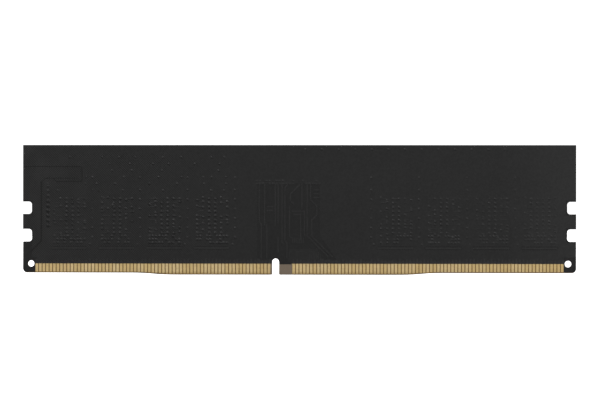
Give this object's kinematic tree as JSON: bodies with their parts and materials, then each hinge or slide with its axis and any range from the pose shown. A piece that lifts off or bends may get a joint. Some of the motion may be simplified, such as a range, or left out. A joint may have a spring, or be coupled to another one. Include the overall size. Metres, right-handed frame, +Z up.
{
  "type": "ram module",
  "caption": "Long thin memory module board with gold edge contacts, a key slot, latch notches at both ends and memory chips on one face.",
  "frame": {"origin": "middle of the card edge: half the board's length, half its thickness, at the lowest point of the curved lower edge", "axes": "+X along the board, away from the end nearer the key slot's short row; +Y through the board towards the memory chips; +Z up, away from the card edge"},
  "size_m": [0.1334, 0.0025, 0.0312],
  "materials": {
    "laminate": "satin",
    "solder_mask": "satin",
    "copper": "satin",
    "gold_plating": "satin",
    "mould_compound": "matte",
    "package_carrier": "satin",
    "silicon": "polished",
    "solder": "satin",
    "tinned_terminal": "satin",
    "capacitor_ceramic": "matte",
    "resistor_ceramic": "matte",
    "resistor_glaze": "gloss"
  },
  "bodies": {
    "root": {"laminate_back": "laminate", "laminate_middle": "laminate", "laminate_front": "laminate", "ground_plane": "copper", "power_plane": "copper", "ground_pour_back": "copper", "command_traces_back": "copper", "contact_necks_back": "copper", "contact_necks_front": "copper", "contacts_back_minus": "gold_plating", "contacts_back_plus": "gold_plating", "contacts_front_minus": "gold_plating", "contacts_front_plus": "gold_plating", "solder_mask_back": "solder_mask", "solder_mask_front": "solder_mask", "detect_chip_body": "mould_compound", "detect_chip_leads": "tinned_terminal", "bypass_capacitor_ceramics": "capacitor_ceramic", "bypass_capacitor_end_caps": "tinned_terminal", "bulk_capacitor_ceramics": "capacitor_ceramic", "bulk_capacitor_end_caps": "tinned_terminal", "resistor_array_slabs": "resistor_ceramic", "resistor_array_glazes": "resistor_glaze", "resistor_array_terminals": "tinned_terminal", "surface_mount_solder": "solder", "memory_1_mould": "mould_compound", "memory_1_die": "silicon", "memory_1_carrier": "package_carrier", "memory_1_solder_balls": "solder", "memory_2_mould": "mould_compound", "memory_2_die": "silicon", "memory_2_carrier": "package_carrier", "memory_2_solder_balls": "solder", "memory_3_mould": "mould_compound", "memory_3_die": "silicon", "memory_3_carrier": "package_carrier", "memory_3_solder_balls": "solder", "memory_4_mould": "mould_compound", "memory_4_die": "silicon", "memory_4_carrier": "package_carrier", "memory_4_solder_balls": "solder", "memory_5_mould": "mould_compound", "memory_5_die": "silicon", "memory_5_carrier": "package_carrier", "memory_5_solder_balls": "solder", "memory_6_mould": "mould_compound", "memory_6_die": "silicon", "memory_6_carrier": "package_carrier", "memory_6_solder_balls": "solder", "memory_7_mould": "mould_compound", "memory_7_die": "silicon", "memory_7_carrier": "package_carrier", "memory_7_solder_balls": "solder", "memory_8_mould": "mould_compound", "memory_8_die": "silicon", "memory_8_carrier": "package_carrier", "memory_8_solder_balls": "solder"}
  },
  "joints": []
}
